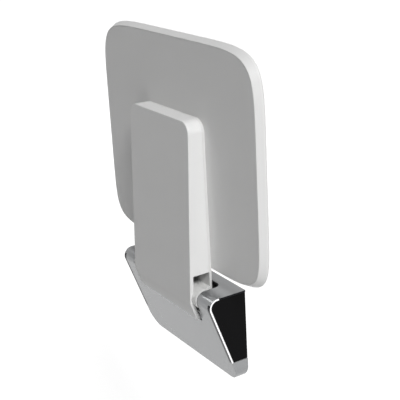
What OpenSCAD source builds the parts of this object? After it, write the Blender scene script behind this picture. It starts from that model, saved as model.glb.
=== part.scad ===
// Fold down wall seat: a moulded seat on a hollow arm, hinged inside a wall bracket.
// X runs along the wall, Y runs into the wall and Z is up. The wall is the plane Y = 0.
// The origin is the middle of the four wall holes, on the wall. The seat is drawn
// folded up against the wall, and turns down about the shaft in the bracket.
// Side profiles are drawn in Y and Z, and front outlines in X and Z.

/* [Wall bracket] */
// Length of the bracket along the wall
bracket_len = 250; // [240:1:320]
// Depth of the top face, out to the line where it would meet the front slope
bracket_d = 66.7; // [64:0.1:80]
// Height of the bracket
bracket_h = 144; // [136:1:170]
// Height of the top face above the middle of the wall holes
bracket_top = 67.5; // [60:0.5:80]
// Lean of the front slope from upright, in degrees
slope_angle = 19.5; // [16:0.1:20]
// Radius of the rounded edge between the top face and the front slope
corner_r = 13.5; // [12.5:0.1:16]
// Radius of the two lower corners, seen from the front
low_corner_r = 24.5; // [18:0.5:34]
// Wall thickness of the metal shell
shell_t = 3; // [2:0.1:3.2]
// Length of metal left at each end of the hinge window
window_end = 34; // [30:0.5:40]
// Distance from the wall to the window's rear edge
window_rear = 18.4; // [17:0.1:21]
// Depth of the window's lower edge below the top face
window_low = 50; // [49.5:0.1:60]
// Radius of the window's two rear corners
window_r = 11; // [4:0.5:14]
// Distance down the slope to the step where the window narrows to the claw
window_step = 13; // [12.6:0.1:18]
// Radius of the window's corners on the slope
window_slope_r = 3; // [1:0.1:3.4]
// Gap between the claw's side and the narrow part of the window
claw_side_gap = 2.6; // [1:0.1:4]

/* [End caps] */
// Height of the end caps, from the top face down
cap_h = 108.3; // [90:0.1:115]
// Thickness of an end cap
cap_t = 3; // [2:0.1:4]
// Depth of the cap's face below the end of the shell
cap_recess = 1; // [0.5:0.1:2]
// Depth of the skirt that holds the cap in the shell
skirt_d = 8; // [4:0.5:10]
// Thickness of that skirt
skirt_t = 1.8; // [1:0.1:2.5]

/* [Wall plate] */
// Thickness of the steel wall plate
plate_t = 5; // [4:0.1:6]
// Distance between the wall holes along the wall
hole_pitch_x = 120; // [90:1:150]
// Distance between the wall holes up the wall
hole_pitch_z = 75; // [60:1:80]
// Radius of the wall holes
wall_hole_r = 4.5; // [3:0.1:5.5]
// Thickness of the plate's two folded flanges
flange_t = 3; // [2:0.1:3.5]
// Reach of the top flange from the wall
top_flange_d = 17; // [14:0.5:18]
// Distance from each end of the bracket to the top flange
top_flange_end = 37; // [35.5:0.5:50]
// Reach of the lower flange from the wall
low_flange_d = 11; // [10:0.5:12]
// Distance from each end of the bracket to the lower flange
low_flange_end = 50; // [40:0.5:60]

/* [Hinge] */
// Radius of the shaft
shaft_r = 6; // [5:0.1:7]
// Radius of the barrel that turns on the shaft
barrel_r = 15; // [12.5:0.1:15.2]
// Gap between each end of the barrel and the end of the hinge window
barrel_gap = 0.8; // [0.4:0.1:3]
// Wall thickness of the plain bushes
bush_t = 2; // [1.5:0.1:3]
// Length of a bush inside the barrel
bush_len = 24; // [12:1:40]
// Thickness of the bush flanges and of the thrust washers
washer_t = 1.5; // [1:0.1:1.8]
// Radius of the bush flanges and of the thrust washers
washer_r = 10; // [9:0.1:11]
// Thickness of a bearing block along the wall
bearing_t = 10.5; // [10:0.1:12]
// Radius of a bearing block's nose round the shaft
hub_r = 10; // [9:0.1:10.2]
// Height of a bearing block's foot on the wall plate
bearing_h = 66; // [56:1:76]
// Thickness of the rings that keep the shaft in place
ring_t = 1.2; // [1:0.1:1.5]
// Width of the ring outside its groove
ring_w = 2.6; // [2:0.1:3]
// Distance from the arm's side to the end of the rubber stop block
stop_end = 11.4; // [8:0.1:30]

/* [Arm] */
// Distance from the arm's side to the end of the hinge window
arm_side_gap = 9.6; // [6:0.1:14]
// Height of the arm's top above the bracket's top face
arm_rise = 245; // [200:1:270]
// Depth of the arm at its top, leaf included
arm_top_d = 25.4; // [24:0.1:30]
// Depth of the arm where the claw bends away, leaf included
arm_low_d = 38; // [37.6:0.1:40]
// Radius of the arm's two top corners
arm_corner_r = 18; // [8:0.5:26]
// Thickness of the arm's front and top walls
arm_front_t = 6; // [4:0.1:6.4]
// Thickness of the arm's side walls
arm_side_t = 3.5; // [2.5:0.1:5]
// Height of the side cut-outs above the bracket's top face
cutout_rise = 20.8; // [20:0.1:30]
// Drop of the claw's bend below the shaft
bend_drop = 5; // [3:0.1:7]
// Distance from the shaft's axis to the middle of the claw's bead
bead_reach = 30.5; // [29:0.1:30.8]
// Angle of the bead in front of straight down, in degrees
bead_lean = 10.2; // [8:0.1:12]
// Radius of the rounded bead along the claw's lip
bead_r = 4.4; // [4:0.1:4.6]
// Thickness of the claw at its bead
claw_t = 7; // [5:0.1:8]
// Radius of the relief groove between the claw and its bead
claw_groove_r = 1.3; // [0.8:0.1:1.6]
// Thickness of the hinge leaf behind the arm
leaf_t = 3.6; // [3.2:0.1:4]
// Drop of the leaf's lower edge below the bracket's top face
leaf_drop = 10; // [8:0.1:11]

/* [Seat] */
// Half width of the seat's underside
seat_half_w = 200.3; // [180:0.1:230]
// Half height of the seat's underside
seat_half_h = 160.2; // [150:0.1:190]
// Squareness of the seat's front half
front_power = 7; // [4:0.1:10]
// Squareness of the seat's rear half
rear_power = 8.5; // [4:0.1:10]
// Height of the underside's lower edge above the bracket's top face
seat_rise = 28; // [24:0.5:36]
// Distance from the wall to the folded seat's sitting face
seat_gap = 13; // [12.6:0.1:14]
// Thickness of the seat
seat_t = 15; // [14.6:0.1:15.4]
// Widening of the rim from the underside to its widest line
rim_flare = 6.5; // [3:0.1:9]
// Radius of the rim's edge at the sitting face
rim_r = 4; // [2:0.1:5]
// Width of the rim's edge round the base panel
rim_lip = 1.4; // [0.8:0.1:2]
// Thickness of the base panel
base_t = 4; // [3:0.1:5]
// Thickness of the sitting face
deck_t = 4; // [3:0.1:5]
// Width of the solid border inside the rim
border_w = 12; // [8:0.5:20]
// Thickness of the ribs inside the seat
rib_t = 2.5; // [2:0.1:4]
// Spacing of the ribs across the seat
rib_pitch_x = 45; // [36:1:56]

/* [Screws] */
// Radius of the six screws between seat, leaf and arm
seat_screw_r = 2.5; // [2:0.1:3]
// Height of the lowest pair of those screws above the bracket's top face
seat_screw_rise = 60; // [50:1:70]
// Drop of their highest pair below the arm's top
seat_screw_drop = 29; // [24:1:40]
// Radius of the two lower arm screws
arm_screw_r = 2.5; // [2:0.1:3]
// Distance of the lower arm screws from the middle line
arm_screw_x = 25; // [15:1:34]
// Height of the lower arm screws above the bracket's top face
arm_screw_rise = 13.5; // [12:0.1:14]
// Radius of the screws that hold the bearing blocks
bearing_screw_r = 3; // [2.5:0.1:3.5]
// Radius of the screws that hold the shell to the lower flange
shell_screw_r = 2; // [1.5:0.1:2.5]
// Distance of the shell screws from the ends of the lower flange
shell_screw_end = 20; // [10:1:40]
// Radius of the screws that hold the stop block
stop_screw_r = 2; // [1.5:0.1:2]

/* [Hidden] */
$fn = 72;

// Clearances: parts that sit on each other, running fits, and parts that pass each other
fit_gap = 0.1;
run_gap = 0.05;
pass_gap = 0.3;
// One overrun serves every cut
overrun = 6;

// The shaft's axis is the centre of the bracket's rounded edge
bracket_low = bracket_top - bracket_h;
pivot_y = -bracket_d + corner_r * (tan(slope_angle) + 1 / cos(slope_angle));
pivot_z = bracket_top - corner_r;
pivot = [pivot_y, pivot_z];
slope_out = [-cos(slope_angle), -sin(slope_angle)];
slope_down = [sin(slope_angle), -cos(slope_angle)];

// Lengths along the wall follow the bracket's
window_w = bracket_len - 2 * window_end;
arm_w = window_w - 2 * arm_side_gap;
stop_w = arm_w - 2 * stop_end;
barrel_x = window_w / 2 - barrel_gap;

// Wall plate and its flanges
plate_margin = 2;
top_flange_w = bracket_len - 2 * top_flange_end;
low_flange_w = bracket_len - 2 * low_flange_end;
shell_screw_x = low_flange_w / 2 - shell_screw_end;
flange_top = bracket_top - shell_t - fit_gap;
low_flange_z = bracket_low + shell_t + fit_gap;

// Hinge stack along the shaft, from the barrel's end outwards
bush_r = shaft_r + run_gap + bush_t;
flange_x = barrel_x + washer_t + fit_gap;
washer_x = flange_x + pass_gap / 2;
bearing_x = washer_x + washer_t + pass_gap / 2;
ring_x = bearing_x + bearing_t + fit_gap;
groove_d = shaft_r / 6;
shaft_end = ring_x + ring_t * 2;

// Seat, leaf and arm planes, measured from the wall
sit_y = -seat_gap;
under_y = sit_y - seat_t;
leaf_y = under_y - leaf_t;
arm_back_y = leaf_y - fit_gap;
arm_top = bracket_top + arm_rise;
arm_top_y = under_y - arm_top_d;
arm_low_y = under_y - arm_low_d;
bend_z = pivot_z - bend_drop;
cutout_z = bracket_top + cutout_rise;
seat_mid_z = bracket_top + seat_rise + seat_half_h;

// Claw: the bead's centre, and the outer line from the bend to the bead
bead = pivot + bead_reach * [-sin(bead_lean), -cos(bead_lean)];
claw_bend = [arm_low_y, bend_z];
claw_end = tangent_point(claw_bend, bead, bead_r, -1);
claw_in = unit([bend_z - claw_end.y, claw_end.x - arm_low_y]);
claw_past = claw_t - bead_r;
claw_groove = bead + claw_past * claw_in
    + sqrt(bead_r * bead_r - claw_past * claw_past) * unit(claw_bend - claw_end);
saddle_r = barrel_r + pass_gap;

// Stop block under the top flange: its front holds the leaf, its foot stops the claw
stop_front = under_y + pass_gap;
stop_rear = -plate_t - fit_gap;
stop_low = pivot_z - bead_reach * sin(bead_lean) + bead_r + pass_gap;
stop_high = flange_top - flange_t - fit_gap;
stop_screw_y = -top_flange_d * 2 / 3;

// Bearing blocks and their screws
bearing_foot_z = pivot_z + hub_r - bearing_h;
bearing_screw_x = bearing_x + bearing_t / 2;
bearing_screw_z = [pivot_z, bearing_foot_z + bearing_h / 4];
bearing_screw_len = 16;

// Screw heads are shares of the screw's radius
csk_share = 2;
pan_share = 2.1;
pan_h_share = 1.1;
clear_share = 1.15;
boss_share = 2.2;
screw_len = 14;
stop_screw_len = 8;

// The seat screws stand in the middle of cells between the seat's ribs
seat_screw_x = rib_pitch_x;
seat_screw_low = bracket_top + seat_screw_rise;
rib_pitch_z = (arm_top - seat_screw_drop - seat_screw_low) / 4;
seat_screw_z = [for (k = [0, 2, 4]) seat_screw_low + k * rib_pitch_z];
rib_count_x = ceil(seat_half_w / rib_pitch_x);
rib_count_z = ceil(2 * seat_half_h / rib_pitch_z);

// Steps round the seat's outline and over its rim
outline_steps = 96;
rim_steps = 6;

function unit(v) = v / norm(v);

// Point where a line from p touches the circle of radius r round c, on the given side
function tangent_point(p, c, r, side) =
    let (d = c - p, l = norm(d), a = atan2(d.y, d.x) + side * asin(r / l))
    p + sqrt(l * l - r * r) * [cos(a), sin(a)];

// Distance out from the wall of the shell's front slope at a height
function slope_y(z, inset) =
    pivot_y - (corner_r - inset + (z - pivot_z) * sin(slope_angle)) / cos(slope_angle);

// Y of the arm's front face at a height
function arm_front_y(z) =
    arm_low_y + (arm_top_y - arm_low_y) * (z - bend_z) / (arm_top - bend_z);

// One point of the seat's outline, grown outwards by a width
function seat_point(turn, grow) =
    let (c = cos(turn), s = sin(turn), p = 2 / (s < 0 ? rear_power : front_power))
    [sign(c) * (seat_half_w + grow) * pow(abs(c), p),
     seat_mid_z + sign(s) * (seat_half_h + grow) * pow(abs(s), p)];

function seat_outline(grow) =
    [for (i = [0 : outline_steps - 1]) seat_point(i * 360 / outline_steps, grow)];

// Depth and growth of each line round the rim: a swelling flare, then a rounded edge
function rim_lines() = concat(
    [for (i = [0 : rim_steps])
        let (a = 90 * i / rim_steps)
        [under_y + (seat_t - rim_r) * (1 - cos(a)), rim_lip + (rim_flare - rim_lip) * sin(a)]],
    [for (i = [1 : rim_steps])
        let (a = 90 * i / rim_steps)
        [sit_y - rim_r + rim_r * sin(a), rim_flare - rim_r + rim_r * cos(a)]]);

// Extrudes a side profile along X, centred
module across(w) {
    rotate([90, 0, 90]) linear_extrude(w, center = true) children();
}

// Extrudes a front outline from the wall into the room
module facing(depth) {
    rotate([90, 0, 0]) linear_extrude(depth) children();
}

// Round bar along X round the shaft's axis, between two X places
module on_shaft(r, x0, x1) {
    translate([x0, pivot_y, pivot_z]) rotate([0, 90, 0]) cylinder(r = r, h = x1 - x0);
}

// Round bar from y out into the room
module into_room(r, len) {
    rotate([90, 0, 0]) cylinder(r = r, h = len);
}

// Screw with its head's top at the origin and its shank along +Z
module csk_screw(r, len) {
    cylinder(r1 = r * csk_share, r2 = r, h = r);
    cylinder(r = r, h = len);
}

// The hole for such a screw, open past its head
module csk_hole(r, len) {
    cylinder(r1 = r * csk_share + fit_gap, r2 = r + fit_gap, h = r);
    cylinder(r = r + fit_gap, h = len);
    translate([0, 0, -overrun]) cylinder(r = r * csk_share + fit_gap, h = overrun);
}

// Side profile of the bracket, inset from its outer face
module bracket_side(inset, rear) {
    translate(pivot) circle(r = corner_r - inset);
    polygon([
        [rear, bracket_top - inset], [pivot_y, bracket_top - inset], pivot,
        pivot + (corner_r - inset) * slope_out,
        [slope_y(bracket_low + inset, inset), bracket_low + inset],
        [rear, bracket_low + inset]
    ]);
}

// Front outline of the bracket with its two rounded lower corners
module bracket_front(inset) {
    half = bracket_len / 2 - inset;
    r = low_corner_r - inset;
    low = bracket_low + inset;
    for (side = [-1, 1]) translate([side * (half - r), low + r]) circle(r = r);
    polygon([
        [-half, bracket_top - inset], [-half, low + r], [r - half, low + r], [r - half, low],
        [half - r, low], [half - r, low + r], [half, low + r], [half, bracket_top - inset]
    ]);
}

// What a rounded corner at the origin keeps of a square hole that opens towards +X and +Y
module corner_keep(r) {
    difference() {
        translate([-overrun, -overrun]) square(r + overrun);
        translate([r, r]) circle(r = r);
    }
}

// Keeps the two corners of a window w wide that lie at a distance down the slope
module keep_slope_corners(w, drop, r) {
    corner = pivot + drop * slope_down;
    for (side = [0, 1]) mirror([side, 0, 0]) translate([-w / 2, corner.x, corner.y])
        rotate([90 + slope_angle, 0, 0]) linear_extrude(corner_r + 2 * overrun) corner_keep(r);
}

// Cuts the hinge window through the top face, over the rounded edge and down the slope,
// where it narrows to the claw
module window_cut() {
    out = (corner_r + overrun) * slope_out;
    step_in = pivot + window_step * slope_down;
    drop = (pivot_z - sin(slope_angle) * corner_r - bracket_top + window_low) / cos(slope_angle);
    low_in = pivot + drop * slope_down;
    low_w = arm_w + 2 * claw_side_gap;
    difference() {
        across(window_w) polygon([
            [-window_rear, bracket_top + overrun], [-window_rear, pivot_z], step_in,
            step_in + out, [-bracket_d - overrun, bracket_top + overrun]
        ]);
        for (side = [0, 1]) mirror([side, 0, 0])
            translate([-window_w / 2, -window_rear, pivot_z]) linear_extrude(2 * corner_r)
                mirror([0, 1]) corner_keep(window_r);
        keep_slope_corners(window_w, window_step, window_slope_r);
    }
    difference() {
        across(low_w) polygon([pivot, low_in, low_in + out, pivot + out]);
        keep_slope_corners(low_w, drop, window_slope_r);
    }
}

// Places both shell screws, under the bracket
module at_shell_screws() {
    for (side = [-1, 1])
        translate([side * shell_screw_x, -low_flange_d * 3 / 5, bracket_low]) children();
}

// Places the three stop screws, on the top flange
module at_stop_screws() {
    for (side = [-1, 0, 1])
        translate([side * stop_w / 3, stop_screw_y, flange_top]) mirror([0, 0, 1]) children();
}

// Places the bearing screws of one side, at the back of the wall plate
module at_bearing_screws(side) {
    for (z = bearing_screw_z)
        translate([side * bearing_screw_x, 0, z]) rotate([90, 0, 0]) children();
}

// Places the six seat screws, with +Z into the room
module at_seat_screws(y) {
    for (side = [-1, 1], z = seat_screw_z)
        translate([side * seat_screw_x, y, z]) rotate([90, 0, 0]) children();
}

// Places the two lower arm screws on the leaf's rear face, with +Z into the room
module at_arm_screws() {
    for (side = [-1, 1])
        translate([side * arm_screw_x, under_y, bracket_top + arm_screw_rise])
            rotate([90, 0, 0]) children();
}

module wall_plate() {
    color("lightslategray") difference() {
        union() {
            facing(plate_t) bracket_front(shell_t + plate_margin);
            across(top_flange_w) translate([-top_flange_d, flange_top - flange_t])
                square([top_flange_d, flange_t]);
            across(low_flange_w) translate([-low_flange_d, low_flange_z])
                square([low_flange_d, flange_t]);
        }
        for (x = [-1, 1], z = [-1, 1])
            translate([x * hole_pitch_x / 2, overrun, z * hole_pitch_z / 2])
                into_room(wall_hole_r, plate_t + 2 * overrun);
        for (side = [-1, 1]) at_bearing_screws(side) csk_hole(bearing_screw_r, plate_t + overrun);
        at_stop_screws() csk_hole(stop_screw_r, flange_t + overrun);
        at_shell_screws() cylinder(r = shell_screw_r + fit_gap, h = shell_t + flange_t + overrun);
    }
}

module bracket_housing() {
    open_half = bracket_len / 2 + overrun;
    color("silver") difference() {
        intersection() {
            across(bracket_len) bracket_side(0, 0);
            facing(bracket_d) bracket_front(0);
        }
        intersection() {
            across(bracket_len + 2 * overrun) bracket_side(shell_t, overrun);
            translate([0, overrun, 0]) facing(bracket_d + overrun) {
                bracket_front(shell_t);
                translate([-open_half, bracket_top - cap_h]) square([2 * open_half, cap_h]);
            }
        }
        window_cut();
        at_shell_screws() csk_hole(shell_screw_r, shell_t + overrun);
    }
}

// Black end cap with a skirt that grips inside the shell, on the given side
module end_cap(side) {
    gap = shell_t + pass_gap;
    outer_x = bracket_len / 2 - cap_recess;
    keep = [bracket_d, cap_h - pass_gap];
    module slab(x, w, clear_y) {
        translate([side * (x - w / 2), 0, 0]) across(w) intersection() {
            difference() {
                bracket_side(gap, 0);
                if (clear_y > 0) bracket_side(gap + skirt_t, overrun);
            }
            translate([-clear_y - keep.x, bracket_top - cap_h + pass_gap]) square(keep);
        }
    }
    color([0.05, 0.05, 0.05]) {
        slab(outer_x, cap_t, 0);
        slab(outer_x - cap_t, skirt_d, plate_t + pass_gap);
    }
}

// Bearing block on the wall plate: an upright web with a bore for the shaft
module bearing_block(side) {
    rear = -plate_t - fit_gap;
    foot = [rear, bearing_foot_z];
    color("darkgray") difference() {
        translate([side * bearing_screw_x, 0, 0]) across(bearing_t) {
            translate(pivot) circle(r = hub_r);
            polygon([
                [rear, pivot_z + hub_r], [pivot_y, pivot_z + hub_r], pivot,
                tangent_point(foot, pivot, hub_r, 1), foot
            ]);
        }
        on_shaft(shaft_r + run_gap, -bracket_len / 2, bracket_len / 2);
        at_bearing_screws(side) cylinder(r = bearing_screw_r + fit_gap, h = bearing_screw_len + fit_gap);
    }
}

module bearing_screws() {
    color("gray") for (side = [-1, 1]) at_bearing_screws(side)
        csk_screw(bearing_screw_r, bearing_screw_len);
}

module hinge_shaft() {
    color("gainsboro") difference() {
        on_shaft(shaft_r, -shaft_end, shaft_end);
        for (side = [-1, 1]) translate([side * (ring_x + ring_t / 2), pivot_y, pivot_z])
            rotate([0, 90, 0]) difference() {
                cylinder(r = shaft_r + overrun, h = ring_t + 2 * fit_gap, center = true);
                cylinder(r = shaft_r - groove_d, h = ring_t + 2 * overrun, center = true);
            }
    }
}

module shaft_rings() {
    color("dimgray") for (side = [-1, 1]) translate([side * (ring_x + ring_t / 2), pivot_y, pivot_z])
        rotate([0, 90, 0]) difference() {
            cylinder(r = shaft_r + ring_w, h = ring_t, center = true);
            cylinder(r = shaft_r - groove_d + run_gap, h = ring_t + overrun, center = true);
            translate([0, -shaft_r / 2, -overrun]) cube([shaft_r + overrun, shaft_r, 2 * overrun]);
        }
}

module thrust_washers() {
    color("gray") for (side = [-1, 1])
        translate([side * (washer_x + washer_t / 2), pivot_y, pivot_z]) rotate([0, 90, 0]) difference() {
            cylinder(r = washer_r, h = washer_t, center = true);
            cylinder(r = shaft_r + run_gap, h = washer_t + overrun, center = true);
        }
}

module stop_block() {
    color([0.12, 0.12, 0.12]) difference() {
        across(stop_w) {
            translate([stop_front, stop_low])
                square([-top_flange_d - stop_front - fit_gap, bracket_top - shell_t - stop_low]);
            translate([stop_front, stop_low]) square([stop_rear - stop_front, stop_high - stop_low]);
        }
        at_stop_screws() cylinder(r = stop_screw_r + fit_gap, h = stop_screw_len + fit_gap);
    }
}

module stop_screws() {
    color("gray") at_stop_screws() csk_screw(stop_screw_r, stop_screw_len);
}

module housing_screws() {
    color("gray") at_shell_screws() csk_screw(shell_screw_r, shell_t + flange_t + fit_gap);
}

// Front outline shared by the arm and the leaf behind it, with rounded top corners
module arm_front(inset, low_z) {
    half = arm_w / 2 - inset;
    high = arm_top - inset;
    r = arm_corner_r - inset;
    for (side = [-1, 1]) translate([side * (half - r), high - r]) circle(r = r);
    polygon([
        [-half, low_z], [-half, high - r], [r - half, high - r], [r - half, high],
        [half - r, high], [half - r, high - r], [half, high - r], [half, low_z]
    ]);
}

// Hinge leaf: a flat plate behind the arm, grown onto the wider barrel round the shaft
module hinge_leaf() {
    leaf_low = bracket_top - leaf_drop;
    web_h = barrel_r * 4 / 5;
    color("whitesmoke") difference() {
        union() {
            translate([0, under_y, 0]) facing(leaf_t) arm_front(0, leaf_low);
            on_shaft(barrel_r, -barrel_x, barrel_x);
            across(arm_w) polygon([
                pivot, [leaf_y + fit_gap, leaf_low],
                [leaf_y + fit_gap, pivot_z + web_h], [pivot_y, pivot_z + web_h]
            ]);
        }
        on_shaft(bush_r + run_gap, -window_w / 2, window_w / 2);
        at_seat_screws(under_y + overrun)
            cylinder(r = seat_screw_r * clear_share, h = leaf_t + 2 * overrun);
        at_arm_screws() csk_hole(arm_screw_r, leaf_t + overrun);
    }
}

// Flanged plain bush in one end of the barrel
module bush(side) {
    color("ivory") translate([side * barrel_x, pivot_y, pivot_z]) rotate([0, side * 90, 0]) difference() {
        union() {
            translate([0, 0, -bush_len]) cylinder(r = bush_r, h = bush_len + fit_gap + washer_t);
            translate([0, 0, fit_gap]) cylinder(r = washer_r, h = washer_t);
        }
        translate([0, 0, -bush_len - overrun])
            cylinder(r = shaft_r + run_gap, h = bush_len + washer_t + 2 * overrun);
    }
}

// Boss from the leaf to the arm's front wall, at a height, with a pilot hole
module arm_boss(x, z, r, depth) {
    len = arm_back_y - arm_front_y(z) - arm_front_t / 2;
    translate([x, arm_back_y, z]) difference() {
        into_room(r * boss_share, len);
        translate([0, overrun, 0]) into_room(r + fit_gap, depth + overrun);
    }
}

// Side profile of the space inside the arm, from low_z up
module arm_hollow(low_z, high_z) {
    polygon([
        [arm_back_y + overrun, high_z], [arm_front_y(high_z) + arm_front_t, high_z],
        [arm_front_y(low_z) + arm_front_t, low_z], [arm_back_y + overrun, low_z]
    ]);
}

// Hollow wedge arm whose front wall runs on below the cut-outs as a hooked claw
module arm_housing() {
    color("whitesmoke") {
        difference() {
            union() {
                difference() {
                    intersection() {
                        across(arm_w) polygon([
                            [arm_back_y, arm_top], [arm_top_y, arm_top], claw_bend, [arm_back_y, bend_z]
                        ]);
                        facing(bracket_d + overrun) arm_front(0, bend_z);
                    }
                    intersection() {
                        across(arm_w - 2 * arm_side_t) arm_hollow(bend_z - overrun, arm_top - arm_front_t);
                        facing(bracket_d + overrun) arm_front(arm_side_t, bend_z - overrun);
                    }
                    across(arm_w + overrun) arm_hollow(bend_z - overrun, cutout_z);
                }
                across(arm_w) {
                    polygon([
                        claw_bend, claw_end, claw_end + claw_t * claw_in,
                        [arm_low_y + arm_front_t, bend_z]
                    ]);
                    translate(bead) circle(r = bead_r);
                }
            }
            on_shaft(saddle_r, -arm_w, arm_w);
            across(arm_w + overrun) translate(claw_groove) circle(r = claw_groove_r);
        }
        for (side = [-1, 1]) {
            for (z = seat_screw_z) arm_boss(side * seat_screw_x, z, seat_screw_r, screw_len);
            arm_boss(side * arm_screw_x, bracket_top + arm_screw_rise, arm_screw_r, screw_len);
        }
    }
}

module arm_screws() {
    color("silver") at_arm_screws() csk_screw(arm_screw_r, screw_len);
}

// Underside panel, set into the rim of the seat top
module seat_base() {
    color("gainsboro") difference() {
        translate([0, under_y + base_t, 0]) facing(base_t) polygon(seat_outline(-fit_gap));
        at_seat_screws(under_y + base_t + overrun)
            cylinder(r = seat_screw_r * clear_share, h = base_t + 2 * overrun);
    }
}

// Solid body of the seat top, lofted through the lines round the rim
module rim_loft() {
    lines = rim_lines();
    n = outline_steps;
    last = len(lines) - 1;
    points = [for (line = lines) for (p = seat_outline(line[1])) [p.x, line[0], p.y]];
    sides = [for (k = [0 : last - 1]) for (i = [0 : n - 1])
        [k * n + i, k * n + (i + 1) % n, (k + 1) * n + (i + 1) % n, (k + 1) * n + i]];
    under = [[for (i = [n - 1 : -1 : 0]) i]];
    sitting = [[for (i = [0 : n - 1]) last * n + i]];
    polyhedron(points, concat(sides, under, sitting));
}

module seat_top() {
    well_y = under_y + base_t + fit_gap;
    deck_y = sit_y - deck_t;
    color("white") {
        difference() {
            rim_loft();
            translate([0, well_y, 0]) facing(base_t + overrun) polygon(seat_outline(0));
            translate([0, deck_y, 0]) facing(seat_t) polygon(seat_outline(-border_w));
        }
        translate([0, deck_y, 0]) facing(deck_y - well_y) intersection() {
            polygon(seat_outline(-border_w));
            union() {
                for (k = [-rib_count_x : rib_count_x])
                    translate([(k + 1 / 2) * rib_pitch_x - rib_t / 2, seat_mid_z - seat_half_h])
                        square([rib_t, 2 * seat_half_h]);
                for (k = [-rib_count_z : rib_count_z])
                    translate([-seat_half_w, seat_screw_z[1] + (k + 1 / 2) * rib_pitch_z - rib_t / 2])
                        square([2 * seat_half_w, rib_t]);
            }
        }
    }
}

module seat_screws() {
    head_h = seat_screw_r * pan_h_share;
    color("silver") at_seat_screws(under_y + base_t + fit_gap + head_h) {
        cylinder(r = seat_screw_r * pan_share, h = head_h);
        cylinder(r = seat_screw_r, h = head_h + base_t + leaf_t + screw_len - fit_gap);
    }
}

wall_plate();
bracket_housing();
end_cap(-1);  // left_end_cap
end_cap(1);  // right_end_cap
bearing_block(-1);  // left_bearing_block
bearing_block(1);  // right_bearing_block
bearing_screws();
hinge_shaft();
shaft_rings();
thrust_washers();
stop_block();
stop_screws();
housing_screws();
hinge_leaf();
bush(-1);  // left_bush
bush(1);  // right_bush
arm_housing();
arm_screws();
seat_base();
seat_top();
seat_screws();
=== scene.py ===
import logging
import math
from dataclasses import dataclass
from enum import Enum
from typing import Any, Callable, Sequence

import bmesh
import bpy
from mathutils import Matrix, Vector


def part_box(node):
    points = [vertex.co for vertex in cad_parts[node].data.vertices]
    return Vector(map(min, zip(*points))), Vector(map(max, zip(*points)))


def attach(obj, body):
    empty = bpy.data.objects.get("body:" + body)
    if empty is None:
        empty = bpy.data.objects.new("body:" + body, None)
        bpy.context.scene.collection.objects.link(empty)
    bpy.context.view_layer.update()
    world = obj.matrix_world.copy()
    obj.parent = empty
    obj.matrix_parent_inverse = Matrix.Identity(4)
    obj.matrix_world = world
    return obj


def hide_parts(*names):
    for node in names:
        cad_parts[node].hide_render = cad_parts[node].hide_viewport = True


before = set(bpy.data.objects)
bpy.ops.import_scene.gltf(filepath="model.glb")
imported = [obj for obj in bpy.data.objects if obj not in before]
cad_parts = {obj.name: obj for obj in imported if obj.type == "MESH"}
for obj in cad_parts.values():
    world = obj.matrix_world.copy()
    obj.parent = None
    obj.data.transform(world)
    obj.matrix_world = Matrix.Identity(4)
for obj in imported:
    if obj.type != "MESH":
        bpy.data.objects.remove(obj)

LOG = logging.getLogger("wall_seat")
MM = 0.001

# Points this near, in metres, are joined in a node's copy and in a lofted form, and lie on a
# cutting plane
WELD = 2e-6
SEAM_WELD = 5e-6
PLANE_REACH = 1e-6

# Below the first angle, in degrees, triangles become one face. Past the second, edges are softened
FLAT_ANGLE = 0.4
SHARP_ANGLE = 38.0

# A lobed recess's middle radius and the height of its lobes, as shares of its size
LOBE_MIDDLE, LOBE_WAVE = 0.88, 0.12

Colour = tuple[float, float, float]
Spot = tuple[float, float, float]
Socket = bpy.types.NodeSocket


class Body(Enum):
    """The two bodies that the hinge joins."""

    BRACKET = "bracket"
    SEAT = "seat"


class Slot(Enum):
    """The record's material slots."""

    PLATE = "plate_steel"
    SHELL = "shell_metal"
    CAP = "cap_plastic"
    CAST = "cast_metal"
    SCREW = "screw_steel"
    RUBBER = "stop_rubber"
    LEAF = "leaf_metal"
    SEAT = "seat_plastic"


class ShellSkin(Enum):
    """The shell's finishes, numbered as its materials are: satin, painted shade and painted
    highlight.
    """

    SATIN = 0
    LINE = 1
    RIM = 2


class Recess(Enum):
    """The hole in a screw's head that a driver turns it by."""

    HEX = "hexagon"
    LOBED = "six lobes"

    def share(self, turn: float) -> float:
        """Returns how far out the hole's wall lies at a turn, as a share of its radius."""
        if self is Recess.LOBED:
            return LOBE_MIDDLE + LOBE_WAVE * math.cos(6 * turn)
        side = math.pi / 3
        return math.cos(side / 2) / math.cos(turn % side - side / 2)


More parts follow.
